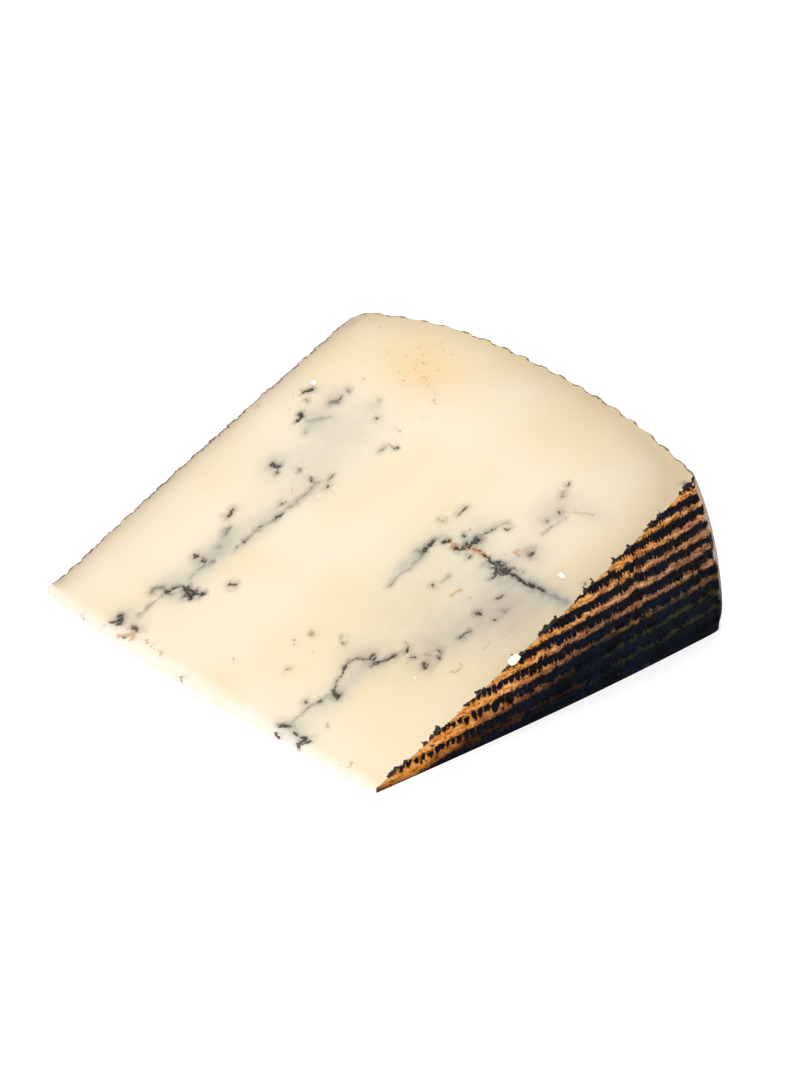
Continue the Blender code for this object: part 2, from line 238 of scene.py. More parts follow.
# Orange specks of smear round the upper left corner
SPECKS = [
    (-74.5, 85.3), (-74.5, 83.5), (-77, 85), (-77.5, 82), (-72.7, 82), (-72.8, 80.1), (-71.5, 80),
    (-69.7, 79.5), (-68.5, 79), (-67, 78.3), (-63.8, 77.2), (-63, 76), (-62, 75.5), (-61.5, 71.5),
    (-72, 87.3), (-73, 87.9), (-71.5, 87), (-68.8, 86.7), (-75.8, 78.2), (-73.5, 77.8), (-72.8, 76.6),
    (-82, 81), (-89.4, 84.7), (-91, 79.5), (-93, 79.3),
]
VEINS["rust"] += [(0.22, x, r, x + 0.35, r + 0.2 * math.sin(7 * x)) for x, r in SPECKS]


def on_cut(x, r):
    """Real place on the cut face of a point given on the straight prism."""
    r = r * side_radius(x) / FLAT_RADIUS
    share = -x / WHEEL_HEIGHT
    return front_face(r) * (1 - share) + back_face(r) * share, r


def route_distance(x, r, route):
    """Distance of points on the cut face from a route across it."""
    nearest = np.full(x.shape, 1e9)
    points = np.reshape(route, (-1, 2))
    for (ax, ar), (bx, br) in zip(points, points[1:]):
        length = (bx - ax) ** 2 + (br - ar) ** 2
        t = np.clip(((x - ax) * (bx - ax) + (r - ar) * (br - ar)) / length, 0, 1)
        nearest = np.minimum(nearest, np.hypot(x - ax - t * (bx - ax), r - ar - t * (br - ar)))
    return nearest


def vein_distance(x, r):
    """Distance of points on the cut face from the nearest vein's edge."""
    nearest = np.full(x.shape, 1e9)
    for width, *route in sum(VEINS.values(), []):
        nearest = np.minimum(nearest, route_distance(x, r, route) - width)
    return nearest


# The mesh: one closed skin. Each face of the wedge is a patch of its own, filled with points as close
# together as its relief needs, and the patches share the points along the edges between them.
TIP_FACET = 1.5
TIP_LIP = (0.3, 0.255)
FOOT_ROUND = 1.5
CUT_START = TIP_FACET / math.cos(WEDGE_ANGLE)
places = []


def new_points(prism):
    """Adds points, given on the straight prism, and returns their numbers."""
    start = sum(len(p) for p in places)
    places.append(np.asarray(prism, float).reshape(-1, 3))
    return np.arange(start, start + len(places[-1]))


def spread(start, end, spacing):
    """Even places strictly between two ends."""
    count = max(1, round(abs(end - start) / spacing))
    return np.linspace(start, end, count + 1)[1:-1]


def rim_point(height_angle):
    """Outline of the rind seen along the axis, with its worn foot, as (y, z) of the prism."""
    up = FLAT_RADIUS * np.sin(height_angle)
    below = np.clip(FOOT_ROUND - up, 0, FOOT_ROUND)
    inset = FOOT_ROUND - np.sqrt(FOOT_ROUND ** 2 - below ** 2)
    return FLAT_RADIUS * np.cos(height_angle) - inset, up


FRONT_EDGE_SPACING = 0.24
FRONT_FOOT_SPACING = 0.5
BACK_EDGE_SPACING = 0.5
RIM_EDGE_SPACING = 0.45
FOOT_EDGE_SPACING = 1.0
ARC_SPACING = 0.45
TIP_SPACING = 0.45
TIP_ROWS = 6

cut_y, cut_z = math.cos(WEDGE_ANGLE), math.sin(WEDGE_ANGLE)
foot_angle = FOOT_ROUND / FLAT_RADIUS
arc_angles = np.concatenate([
    foot_angle * (1 - np.cos(np.linspace(0, math.pi / 2, 7)[1:])),
    spread(foot_angle, WEDGE_ANGLE, ARC_SPACING / FLAT_RADIUS),
])


def tip_profile(t):
    """Profile of the blunt tip from the board, at 0, up to the start of the cut face, at 1."""
    start = (TIP_FACET, TIP_FACET * math.tan(WEDGE_ANGLE))
    points = [(0.0, 0.0), (0.02, 0.16), TIP_LIP, (0.85, 0.45), start]
    shares = np.linspace(0, 1, len(points))
    return np.interp(t, shares, [p[0] for p in points]), np.interp(t, shares, [p[1] for p in points])


def run(x, y, z):
    """Shared points along one edge of the wedge."""
    x, y, z = np.broadcast_arrays(x, y, z)
    return new_points(np.stack([x, y, z], -1))


BACK = -WHEEL_HEIGHT
corners = {}
for end, x in (("front", 0.0), ("back", BACK)):
    corners[end, "toe"] = new_points((x, 0, 0))
    corners[end, "lip"] = new_points((x, CUT_START * cut_y, CUT_START * cut_z))
    corners[end, "top"] = new_points((x, FLAT_RADIUS * cut_y, FLAT_RADIUS * cut_z))
    corners[end, "foot"] = new_points((x, FLAT_RADIUS - FOOT_ROUND, 0))

edges = {}
for end, x, cut_spacing, board_spacing in (
    ("front", 0.0, FRONT_EDGE_SPACING, FRONT_FOOT_SPACING),
    ("back", BACK, BACK_EDGE_SPACING, BACK_EDGE_SPACING),
):
    cut_r = spread(CUT_START, FLAT_RADIUS, cut_spacing)
    edges[end, "cut"] = run(x, cut_r * cut_y, cut_r * cut_z)
    edges[end, "board"] = run(x, spread(0, FLAT_RADIUS - FOOT_ROUND, board_spacing), 0.0)
    edges[end, "arc"] = run(x, *rim_point(arc_angles))
    edges[end, "tip"] = run(x, *tip_profile(np.linspace(0, 1, TIP_ROWS + 1)[1:-1]))
edges["lip"] = run(spread(BACK, 0, TIP_SPACING), CUT_START * cut_y, CUT_START * cut_z)
edges["toe"] = run(spread(BACK, 0, TIP_SPACING), 0.0, 0.0)
edges["top"] = run(spread(BACK, 0, RIM_EDGE_SPACING), FLAT_RADIUS * cut_y, FLAT_RADIUS * cut_z)
edges["foot"] = run(spread(BACK, 0, FOOT_EDGE_SPACING), FLAT_RADIUS - FOOT_ROUND, 0.0)


def flat_on_cut(p):
    """The cut face or the board as a plane: x and the distance from the axis."""
    return np.stack([p[:, 0], np.hypot(p[:, 1], p[:, 2])], -1)


def flat_on_end(p):
    """A flat face of the wheel as a plane."""
    return p[:, 1:]


def flat_on_side(p):
    """The side of the wheel as a plane: x and the height round it."""
    return np.stack([p[:, 0], np.arctan2(p[:, 2], p[:, 1]) * FLAT_RADIUS], -1)


def flat_on_tip(p):
    """The tip as a plane: x and the height up its profile."""
    heights = np.linspace(0, 1, 60)
    profile = np.hypot(*tip_profile(heights))
    return np.stack([p[:, 0], np.interp(np.hypot(p[:, 1], p[:, 2]), profile, heights)], -1)


def lattice(low, high, spacing, rng, keep, turn=0.0):
    """Points over a rectangle of a plane, nudged off their even places. keep says how coarse it may be."""
    reach = max(high[0] - low[0], high[1] - low[1]) * 1.5
    steps = np.arange(-reach, reach, spacing)
    i, j = np.meshgrid(np.arange(len(steps)), np.arange(len(steps)), indexing="ij")
    u, v = steps[i], steps[j]
    middle = [(a + b) / 2 for a, b in zip(low, high)]
    x = middle[0] + u * math.cos(turn) - v * math.sin(turn)
    y = middle[1] + u * math.sin(turn) + v * math.cos(turn)
    inside = (x > low[0]) & (x < high[0]) & (y > low[1]) & (y < high[1])
    i, j, x, y = i[inside], j[inside], x[inside], y[inside]
    coarse = keep(x, y)
    wanted = (i % coarse == 0) & (j % coarse == 0)
    x, y, coarse = x[wanted], y[wanted], coarse[wanted]
    nudge = 0.22 * spacing * coarse
    x = x + rng.uniform(-1, 1, x.shape) * nudge
    y = y + rng.uniform(-1, 1, y.shape) * nudge
    return x, y, spacing * coarse


def encloses(loop, spots):
    """Whether a closed loop in a plane encloses each of some spots."""
    inside = np.zeros(len(spots), bool)
    for (ax, ay), (bx, by) in zip(loop, np.roll(loop, -1, axis=0)):
        crosses = (ay > spots[:, 1]) != (by > spots[:, 1])
        run_up = np.where(crosses, by - ay, 1)
        inside ^= crosses & (spots[:, 0] < ax + (bx - ax) * (spots[:, 1] - ay) / run_up)
    return inside


SLIVER_LAYERS = 3
CLEAR = 0.6    # of a step, from a patch's edge to the points inside it


def fill(loop, inner, flat):
    """Triangles of one patch from its edge loop and the points inside it."""
    numbers = np.concatenate([loop, inner])
    everything = np.concatenate(places)
    plane = flat(everything[numbers])
    points = [Vector(p) for p in plane]
    edge = list(range(len(loop)))
    _, _, faces, origins, _, _ = delaunay_2d_cdt(points, [], [edge], 1, 1e-7, True)
    source = [origin[0] for origin in origins]
    faces = np.array([[source[c] for c in face] for face in faces])
    doubtful = (faces < len(loop)).all(1)
    kept = np.ones(len(faces), bool)
    kept[doubtful] = encloses(plane[:len(loop)], plane[faces[doubtful]].mean(1))
    faces = faces[kept]
    for _ in range(SLIVER_LAYERS):
        ends = np.sort(faces[:, [[0, 1], [1, 2], [2, 0]]], axis=-1)
        start, end = ends[..., 0], ends[..., 1]
        on_loop = (end < len(loop)) & ((end - start == 1) | (end - start == len(loop) - 1))
        _, same, uses = np.unique(start * len(numbers) + end, return_inverse=True, return_counts=True)
        stray = ((uses[same.reshape(start.shape)] == 1) & ~on_loop).any(1)
        faces = faces[~stray]
    return numbers[faces]


def loop_round(low, up, high):
    """Edge loop of a patch that runs the whole length of the wedge, from one long edge up to another."""
    return np.concatenate([
        corners["back", low], edges[low], corners["front", low], edges["front", up],
        corners["front", high], edges[high][::-1], corners["back", high], edges["back", up][::-1],
    ])


rng = np.random.default_rng(7)
patches = {}

# The upper cut face: close points along the veins and the striped edge, wide ones in the plain paste
TOP_SPACING = 0.27


def top_coarseness(x, r):
    """How many steps apart the points of the upper cut face may lie."""
    vein = vein_distance(*on_cut(x, r))
    edge = np.minimum(-x * 0.8, FLAT_RADIUS - r)
    level = np.full(x.shape, 4)
    level[(vein < 1.6) | (edge < 3.0)] = 2
    level[(vein < 0.5) | (edge < 0.5)] = 1
    return level


x, r, gap = lattice((BACK, CUT_START), (0, FLAT_RADIUS), TOP_SPACING, rng, top_coarseness)
clear = (x > BACK + gap * CLEAR) & (x < -gap * CLEAR)
clear &= (r > CUT_START + gap * CLEAR) & (r < FLAT_RADIUS - gap * CLEAR)
x, r = x[clear], r[clear]
inner = new_points(np.stack([x, r * cut_y, r * cut_z], -1))
loop = loop_round("lip", "cut", "top")
patches["top"] = fill(loop, inner, flat_on_cut)

# The underside: the other cut face, flat on the board, with the same veins seen from their far side
BOTTOM_SPACING = 0.42
BOTTOM_CLEAR = 0.9


def bottom_coarseness(x, r):
    """How many steps apart the points of the underside may lie."""
    vein = vein_distance(*on_cut(BACK - x, r))
    level = np.full(x.shape, 5)
    level[vein < 1.2] = 2
    level[vein < 0.4] = 1
    return level


x, r, gap = lattice((BACK, 0), (0, FLAT_RADIUS - FOOT_ROUND), BOTTOM_SPACING, rng, bottom_coarseness)
clear = (x > BACK + BOTTOM_CLEAR) & (x < -BOTTOM_CLEAR)
clear &= (r > BOTTOM_CLEAR) & (r < FLAT_RADIUS - FOOT_ROUND - BOTTOM_CLEAR)
inner = new_points(np.stack([x[clear], r[clear], 0 * r[clear]], -1))
loop = loop_round("toe", "board", "foot")
patches["bottom"] = fill(loop, inner, flat_on_cut)

# The tip: rows of points up its profile
rows = np.linspace(0, 1, TIP_ROWS + 1)[1:-1]
x, t = np.meshgrid(spread(BACK, 0, TIP_SPACING), rows, indexing="ij")
inner = new_points(np.stack([x.ravel(), *tip_profile(t.ravel())], -1))
loop = loop_round("toe", "tip", "lip")
patches["tip"] = fill(loop, inner, flat_on_tip)

# The two striped flat faces: points in rows along the reeds of the mat, which lay at an angle to the cut
MAT_FRONT_SLOPE = math.radians(3.2)
MAT_BACK_SLOPE = math.radians(-21)
FRONT_SPACING = 0.25
BACK_SPACING = 0.45
TIP_CLEAR = 1.2


def close_together(u, v):
    """Every point of the lattice is wanted."""
    return np.ones(u.shape, int)


for end, x, spacing, slope in (
    ("front", 0.0, FRONT_SPACING, MAT_FRONT_SLOPE),
    ("back", BACK, BACK_SPACING, MAT_BACK_SLOPE),
):
    y, z, gap = lattice((0, 0), (FLAT_RADIUS, FLAT_RADIUS * cut_z), spacing, rng, close_together, slope)
    below_cut = (y * cut_z - z * cut_y) > gap * CLEAR
    above_foot = np.minimum(z, FLAT_RADIUS - np.hypot(y, z) - np.clip(FOOT_ROUND - z, 0, 1) * 0.8)
    clear = below_cut & (above_foot > gap * CLEAR) & (y > TIP_CLEAR)
    inner = new_points(np.stack([np.full(clear.sum(), x), y[clear], z[clear]], -1))
    loop = np.concatenate([
        corners[end, "toe"], edges[end, "board"], corners[end, "foot"], edges[end, "arc"],
        corners[end, "top"], edges[end, "cut"][::-1], corners[end, "lip"], edges[end, "tip"][::-1],
    ])
    patches[end] = fill(loop, inner, flat_on_end)

# The side of the wheel
SIDE_SPACING = 0.55
SIDE_CLEAR, FOOT_CLEAR = 0.3, 0.35
x, s, gap = lattice((BACK, 0), (0, FLAT_RADIUS * WEDGE_ANGLE), SIDE_SPACING, rng, close_together)
clear = (x > BACK + SIDE_CLEAR) & (x < -SIDE_CLEAR)
clear &= (s > FOOT_CLEAR) & (s < FLAT_RADIUS * WEDGE_ANGLE - SIDE_CLEAR)
y, z = rim_point(s[clear] / FLAT_RADIUS)
inner = new_points(np.stack([x[clear], y, z], -1))
loop = loop_round("foot", "arc", "top")
patches["side"] = fill(loop, inner, flat_on_side)

prism = np.concatenate(places)
px, py, pz = prism.T
pr = np.hypot(py, pz)
on = {name: np.zeros(len(prism), bool) for name in patches}
for name, faces in patches.items():
    on[name][np.unique(faces)] = True

# The print: the reeds of the mat pressed grooves into both flat faces while the curd was soft, and the ribs
# of the hoop did the same round the side. Blue-black mould fills them. In each groove it stands in a row of
# cells, one for each knot of the mat, between paler threads, and low on the faces it covers the ridges too.
MAT_PITCH = 3.55
MAT_FRONT_START = 0.25
MAT_BACK_START = 1.2
MAT_BORDER = 2.8
MAT_FADE = 1.5
GROOVE_PROFILE = [(0.0, 0.0), (0.18, 0.0), (0.31, 1.0), (0.73, 1.0), (0.86, 0.0), (1.0, 0.0)]
GROOVE_MIDDLE = 0.55
KNOT_PITCH_AT_TIP, KNOT_PITCH_AT_RIM = 2.0, 0.95
CELL_HALF_WIDTH = 0.95
CELL_BLUR = 0.9
REEDS_APART = 7.3    # in the random tables, so that no two reeds share their lumps
THREADS_APART = 5.1

# Height of the strip by the board where mould covers the ridges: what it gains between two distances from
# the tip, and how far above the strip the cover thins out
COVERED_STRIP = [(0.8, 8, 16), (1.8, 16, 36), (3.4, 36, 60), (0.8, 60, 84)]
COVER_FADE_AT_TIP, COVER_FADE_GAIN = 1.6, 13.0
BACK_COVER = 0.8
MOULD_SEEDS = {"front": 33, "back": 43}


def lumps(u, v, size, seed):
    """Smooth random values from 0 to 1 over a plane, in lumps of about one size."""
    count = 64
    table = np.random.default_rng(seed).random((count, count))
    a, b = np.asarray(u) / size, np.asarray(v) / size
    i, j = np.floor(a).astype(int), np.floor(b).astype(int)
    s, t = a - i, b - j
    s, t = s * s * (3 - 2 * s), t * t * (3 - 2 * t)
    i, j, i_next, j_next = i % count, j % count, (i + 1) % count, (j + 1) % count
    near = table[i, j] * (1 - s) + table[i_next, j] * s
    far = table[i, j_next] * (1 - s) + table[i_next, j_next] * s
    return near * (1 - t) + far * t


def uneven(u, v, size, seed):
    """The same lumps about zero, from -0.5 to 0.5."""
    return lumps(u, v, size, seed) - 0.5


def groove_depth(share):
    """Depth of the printed groove at a share of one pitch, from 0 on the ridge to 1 in the groove."""
    places_across, depths = zip(*GROOVE_PROFILE)
    return np.interp(share % 1.0, places_across, depths)


def mat_place(y, z, slope, start):
    """How many pitches of the mat a place on a flat face lies above the first reed."""
    return (z * math.cos(slope) - y * math.sin(slope) - start) / MAT_PITCH


def print_mould(y, z, slope, start, growth, seed):
    """How thickly mould stands on a flat face, 0.5 at its edges, and how strongly pale threads cross it."""
    warp = 0.6 * uneven(y, z, 9, seed) + 0.4 * uneven(y, z, 2.2, seed + 1)
    pitches = mat_place(y, z + 0.5 * warp, slope, start) - GROOVE_MIDDLE
    reed = np.floor(pitches + 0.5)
    along = y * math.cos(slope) + z * math.sin(slope)
    wobble = 0.7 * uneven(along, reed * REEDS_APART, 0.9, seed + 6)
    away = np.abs((pitches - reed) * MAT_PITCH + wobble)
    at_tip = smooth_step(46, 14, along)

    # Cells between the knots, which stand further apart towards the tip
    pitch = KNOT_PITCH_AT_RIM + (KNOT_PITCH_AT_TIP - KNOT_PITCH_AT_RIM) * (1 - along / FLAT_RADIUS)
    knots = along / pitch + 0.37 * reed + 0.9 * uneven(along, reed * REEDS_APART, 2.4, seed + 2)
    cell = np.sqrt(np.clip(1.25 * np.abs(np.sin(math.pi * knots)) - 0.1 - 0.2 * at_tip, 0, 1))
    fray = uneven(y, z, 0.45, seed + 3)
    tuft = uneven(y, z, 1.2, seed + 4)
    half = CELL_HALF_WIDTH - 0.35 * at_tip + (0.4 + 0.35 * at_tip) * (cell - 0.75)
    teeth = 1.9 * knots + lumps(along, reed * THREADS_APART, 1.5, seed + 8)
    comb = 0.3 * np.abs(np.sin(math.pi * teeth)) * (1 - at_tip)
    half = half + comb - 0.1 + 0.4 * fray + 0.8 * tuft + 0.3 * growth
    stand = np.clip(0.5 + (half - away) / CELL_BLUR, 0, 1)

    # Threads across the cells, the blanket that grew over them, and loose specks on the ridges
    thread = smooth_step(0.5 + 0.04 * at_tip, 0.15, cell + 0.35 * fray) * smooth_step(0.9, 0.2, growth)
    thread = thread * (0.75 + 0.25 * at_tip) * smooth_step(-0.35, 0.0, tuft + 0.3 * at_tip)
    window = smooth_step(56, 64, y) * smooth_step(2.2, 3.6, z) + 0.6 * smooth_step(50, 40, y)
    blanket = growth + 0.8 * uneven(y, z * 2.0, 3.3, seed + 5) + 0.3 * fray - 0.3 * np.clip(window, 0, 1)
    blanket = smooth_step(0.7, 1.0, blanket)
    specks = 0.62 * smooth_step(0.79, 0.88, lumps(y, z, 0.5, seed + 7))
    stand = np.maximum(stand * (1 - 0.8 * thread), np.maximum(blanket, specks))
    return np.clip(stand, 0, 1), thread


def growth_over(y, z, seed):
    """How far the mould has grown over the ridges of a flat face, from 0 to 1."""
    low = sum(rise * smooth_step(start, end, y) for rise, start, end in COVERED_STRIP)
    low = low + 2.4 * uneven(y, z, 8, seed) * smooth_step(15, 40, y)
    return smooth_step(low + COVER_FADE_AT_TIP + COVER_FADE_GAIN * smooth_step(8, 55, y), low - 0.8, z)


print_edge = FLAT_RADIUS - MAT_BORDER
border = smooth_step(print_edge + MAT_FADE, print_edge, np.hypot(py, pz))
cover, stand, thread, groove = {}, {}, {}, {}
for end, slope, start, most, seed in (
    ("front", MAT_FRONT_SLOPE, MAT_FRONT_START, 1.0, 31),
    ("back", MAT_BACK_SLOPE, MAT_BACK_START, BACK_COVER, 32),
):
    cover[end] = most * growth_over(py, pz, seed)
    stand[end], thread[end] = print_mould(py, pz, slope, start, cover[end], MOULD_SEEDS[end])
    groove[end] = groove_depth(mat_place(py, pz, slope, start)) * border
growth = np.where(on["front"], cover["front"], 0)
growth = np.where(on["back"] & ~on["front"], cover["back"], growth)

# The side: the hoop's ribs, with patchy mould between them and a closed dark strip along the board
HOOP_PITCH = 5.6
HOOP_DEPTH = 0.35
HOOP_PLAIN, HOOP_FULL = 1.5, 5
up_side = np.arctan2(pz, py) * FLAT_RADIUS
hoop_fade = smooth_step(HOOP_PLAIN, HOOP_FULL, -px) * smooth_step(HOOP_PLAIN, HOOP_FULL, WHEEL_HEIGHT + px)
hoop_share = groove_depth(px / HOOP_PITCH) * hoop_fade
side_growth = smooth_step(14, 2, up_side + 9 * uneven(px, up_side, 9, 51))
patchy = 0.9 * uneven(px, up_side, 2.2, 52) + 0.9 * uneven(px, up_side, 9, 55)
side_mould = 0.62 * hoop_share + patchy + 0.7 * uneven(px, up_side, 0.7, 53) - 0.04
side_mould = np.clip(0.85 * side_mould + 0.55 * side_growth, 0, 1) * (0.35 + 0.65 * hoop_fade)

# All faces together. The mould stops short of the wheel's rim, and closes over the corner at the foot.
ragged_rim = np.hypot(py, pz) + 1.6 * uneven(py, pz, 1.4, 41)
mould_border = smooth_step(FLAT_RADIUS - 0.6, FLAT_RADIUS - 1.7, ragged_rim)
mould = np.where(on["front"], stand["front"] * mould_border, 0)
mould = np.where(on["back"], stand["back"] * mould_border, mould)
mould = np.where(on["side"], side_mould, mould)
mould = np.where(on["side"] & (on["front"] | on["back"]), 0.3, mould)
growth = np.where(on["side"], side_growth, growth)
corner_dark = smooth_step(7, 2, up_side + 2.5 * uneven(px, up_side, 2, 54)) * smooth_step(66, 80, py)
mould = np.maximum(mould, corner_dark * 0.9)
growth = np.maximum(growth, corner_dark)

# The relief of the rind. The print sinks the flat faces and the side, and drags the edges of the cut faces
# in with it. The mould stands proud of its groove, the skin is granular, and the corner at the foot is worn.
MAT_DEPTH = 0.45
DRAG = 1.4
CELL_RELIEF = 0.3
THREAD_RELIEF = 0.2
SKIN_RELIEF = 0.14
SKIN_SINK = 0.25
FRONT_FILL = 0.7
CORNER_WEAR = 0.45
CORNER_REACH, CORNER_HEIGHT = 2.2, 2.6
skin = uneven(py, pz, 0.5, 61) + 0.8 * uneven(py, pz, 1.3, 62)
relief = {}
for end, fill_share in (("front", FRONT_FILL), ("back", 1.0)):
    rough = CELL_RELIEF * (stand[end] - 0.5) - THREAD_RELIEF * thread[end] + SKIN_RELIEF * skin
    relief[end] = -fill_share * MAT_DEPTH * groove[end] + (rough - SKIN_SINK) * border * on[end]
foot_fade = smooth_step(0.1, 2.0 + 1.5 * smooth_step(20, 60, py), pz)
sink_x = relief["front"] * foot_fade * np.exp(px / DRAG) - relief["back"] * np.exp((BACK - px) / DRAG)
side_skin = uneven(px, up_side, 0.9, 63) + 0.8 * uneven(px, up_side, 3.0, 64)
sink_r = -HOOP_DEPTH * hoop_share * np.exp((pr - FLAT_RADIUS) / DRAG)
sink_r += (SKIN_RELIEF * side_skin - 0.1) * on["side"] * hoop_fade
form = wedge_form(px, py, pz, sink_x, sink_r)
worn = ((FLAT_RADIUS - pr) / CORNER_REACH) ** 2 + (px / CORNER_REACH) ** 2 + (pz / CORNER_HEIGHT) ** 2
form -= np.exp(-worn)[:, None] * np.array([CORNER_WEAR, CORNER_WEAR, 0])

# What the eye sees on the cut faces: grains and stains along each vein, grey-green haze ("haze") or pinkish
# grey ("murk_and_shade") in the paste round them, which also carries painted shade along the back edge, and
# near the upper left corner a warm flush with orange specks, where smear bacteria grew. Each haze has its x
# and r, its reach along them, and its strength.
HAZE = {
    "haze": [
        (-74.5, 25, 3.5, 8, 0.7), (-75.5, 14.5, 4.5, 3.2, 0.6), (-78, 4, 3.5, 3, 0.4),
        (-71, 37, 2.6, 6, 0.5), (-81, 47.5, 2.6, 3, 0.4), (-82, 60.5, 3.2, 3, 0.55),
        (-75, 63, 8.5, 6.5, 0.26), (-74, 52, 8.5, 10, 0.3), (-25, 14, 3.2, 9, 0.5), (-25, 1, 4.5, 3, 0.6),
        (-36, 45.5, 2.2, 6.5, 0.65), (-28.5, 54.5, 3.6, 4, 0.55), (-17.5, 51, 5, 2.8, 0.65),
        (-6, 51.4, 8, 1.7, 0.85), (-13.5, 35.5, 2.8, 4, 0.35), (-22, 40, 16, 17, 0.28),
        (-2.5, 51.6, 4, 1.6, 0.5), (-73, 68.5, 2.2, 1.6, 0.3),
    ],
    "murk_and_shade": [
        (-69, 47, 3, 3, 0.3), (-26, 21.5, 5.5, 3.5, 0.45), (-16.5, 30.5, 5, 6.5, 0.45),
        (-11, 48, 7, 4.5, 0.45), (-12.5, 42, 5.5, 6, 0.5), (-15.5, 57, 3.5, 2.6, 0.45),
        (-19, 67, 4, 5.5, 0.4), (-12, 70.5, 5, 2, 0.25), (-6, 45, 5, 9, 0.4), (-83.5, 66.5, 2.6, 2.6, 0.35),
    ],
}
FLUSH = (-71.0, 81.0, 11.0, 7.5)
SMUDGE = {"dark": 0.85, "brown": 0.55, "rust": 0.06, "ash": 0.55, "line": 0.5}
BACK_EDGE_SHADE, BACK_EDGE_SHADE_REACH = 0.75, 1.6

under = on["bottom"] & ~on["tip"]
shown = on["top"] | on["tip"] | on["bottom"]
cx = np.where(under, BACK - form[:, 0], form[:, 0])
cr = np.where(under, form[:, 1], form[:, 1] * cut_y + form[:, 2] * cut_z)
ragged_x = cx + 0.45 * uneven(cx, cr, 0.5, 11) + 0.6 * uneven(cx, cr, 1.4, 12)
ragged_r = cr + 0.45 * uneven(cx, cr, 0.5, 13) + 0.6 * uneven(cx, cr, 1.4, 14)
look = {kind: np.zeros(len(prism)) for kind in (*SMUDGE, *HAZE, "smudge")}
for kind, veins in VEINS.items():
    for width, *route in veins:
        reach = 3.2 * width + 1.6
        near = shown & (cx > min(route[::2]) - reach) & (cx < max(route[::2]) + reach)
        near &= (cr > min(route[1::2]) - reach) & (cr < max(route[1::2]) + reach)
        distance = route_distance(ragged_x[near], ragged_r[near], route)
        beads = 0.4 + 1.1 * lumps(cx[near], cr[near], 0.8, 15) * lumps(cx[near], cr[near], 2.5, 16) ** 0.5
        distance = distance / beads ** (1 if kind in ("dark", "line") else 0.5)
        strength = np.clip(1.2 - 0.75 * distance / width, 0, 0.9)
        look[kind][near] = np.maximum(look[kind][near], strength)
        soft = SMUDGE[kind] * min(1, 0.45 + width) * np.exp(-(distance / (1.25 * width + 0.6)) ** 2)
        look["smudge"][near] = np.maximum(look["smudge"][near], soft)


def glow(x, r, reach_x, reach_r):
    """1 at a place on the cut face, fading over a reach along x and along r."""
    return np.exp(-((cx - x) / reach_x) ** 2 - ((cr - r) / reach_r) ** 2)


for tone, clouds in HAZE.items():
    for *cloud, strength in clouds:
        look[tone] = 1 - (1 - look[tone]) * (1 - strength * glow(*cloud) * shown)
# painted shade: pinkish grey along the back edge of the upper cut face
look["murk_and_shade"] = np.maximum(look["murk_and_shade"], BACK_EDGE_SHADE * on["top"] * np.exp((BACK - px) / BACK_EDGE_SHADE_REACH))
look["flush"] = glow(*FLUSH) * shown
# painted highlight: the paste is painted paler along the rounded tip, where it faces the light
look["lip"] = smooth_step(2.5, -1.0, cr) * (on["tip"] | on["top"]) * ~under

# The edges of the paste. It is darker towards the rind, partly where it has dried and partly as painted
# shade falling off towards the edges, most along the striped face and the side. A thin line of skin shows at
# the back and the side, and the ends of the print's mould notch its striped edge.
DRY_REACH = 3.2
DRY_UNDERSIDE = 0.7
to_back = px - BACK + 0.8 * uneven(px, pr, 5, 71)
to_side = FLAT_RADIUS - pr + 0.8 * uneven(px, pr, 5, 72)
to_front = -px
# painted shade mixed with drying: darker towards the back, the side and the striped face
dried_and_shaded = 0.9 * np.exp(-to_back / DRY_REACH) + 0.85 * np.exp(-to_side / (1.6 * DRY_REACH))
dried_and_shaded += 0.3 * np.exp(-to_side / (4 * DRY_REACH)) * smooth_step(-75, -35, px)
dried_and_shaded += 0.72 * np.exp(-to_front / (3.2 * DRY_REACH)) * smooth_step(8, 45, pr)
dried_and_shaded += 0.25 * np.exp(-to_front / DRY_REACH)
look["dried_and_shaded"] = np.clip(dried_and_shaded, 0, 1) * (on["top"] + DRY_UNDERSIDE * on["bottom"])
to_skin = np.minimum(px - BACK, FLAT_RADIUS - pr) + 0.5 * uneven(px, pr, 0.9, 73)
look["skin_line"] = smooth_step(0.75, 0.1, to_skin) * on["top"]
look["stain"] = smooth_step(1.1, 0.0, to_front + 0.9 * uneven(px, pr, 0.8, 75)) * on["top"]

notch_reach = 0.5 + 2.4 * lumps(pr, pr, 1.0, 74) ** 2
notch_place = mat_place(py, pz, MAT_FRONT_SLOPE, MAT_FRONT_START) - GROOVE_MIDDLE
notch_away = np.abs(notch_place - np.floor(notch_place + 0.5)) * MAT_PITCH + 0.7 * uneven(pr, pr, 0.9, 77)
notch_end = (to_front + 0.4 * uneven(px, pr, 0.45, 76)) / notch_reach
look["notch"] = smooth_step(1.35, 0.8, notch_away) * smooth_step(1.0, 0.5, notch_end) * on["top"]

# What the eye sees on the rind: the mould, the ridges it has grown over, golden ridges under the cut edge,
# which also carry a painted highlight along that edge, pinker and duller ones towards the side, and the
# smooth pale rim that the mat didn't reach
DUSK = 0.36
below_edge = (py * cut_z - pz * cut_y) * on["front"]
dusk = DUSK * smooth_step(6, 16, below_edge + 3 * uneven(py, pz, 5, 78)) * on["front"]
rim = (1 - mould_border) * (on["front"] | on["back"]) + on["side"] * (1 - hoop_fade)
far = smooth_step(8, 72, py + 0.6 * pz) * on["front"] + 0.75 * on["back"] + 0.8 * on["side"]
look["mould"] = mould
look["growth"] = np.maximum(growth, dusk)
# partly painted highlight: golden ridges along the cut edge
look["gilt_and_highlight"] = smooth_step(8, 2, below_edge + 3 * uneven(py, pz, 4, 79)) * on["front"]
look["rim"] = np.clip(rim, 0, 1) * smooth_step(3, 16, up_side)
# partly painted highlight: less pink, more toffee coloured close under the cut edge
look["far"] = np.clip(far, 0, 1) * (1 - 0.6 * on["front"] * smooth_step(4.5, 0.5, below_edge))

